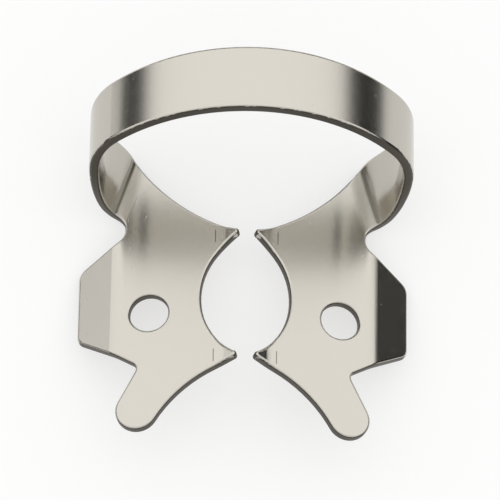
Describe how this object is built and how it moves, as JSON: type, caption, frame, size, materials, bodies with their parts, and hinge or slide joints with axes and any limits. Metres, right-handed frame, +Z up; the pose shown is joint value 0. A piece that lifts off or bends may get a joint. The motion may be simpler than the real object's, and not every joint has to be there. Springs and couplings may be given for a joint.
{
  "type": "rubber dam clamp",
  "caption": "Dental rubber dam clamp bent from spring-steel sheet, with pronged jaws, wings and forceps holes under a raised springy bow.",
  "frame": {"origin": "under the middle of the clamp's box, on the table it rests on", "axes": "+X across the jaws to the right jaw, +Y from the front tabs to the bow, +Z up from the table"},
  "size_m": [0.0194, 0.0216, 0.0116],
  "materials": {
    "spring_steel": "satin, tumbled"
  },
  "bodies": {
    "root": {"clamp": "spring_steel"}
  },
  "joints": []
}
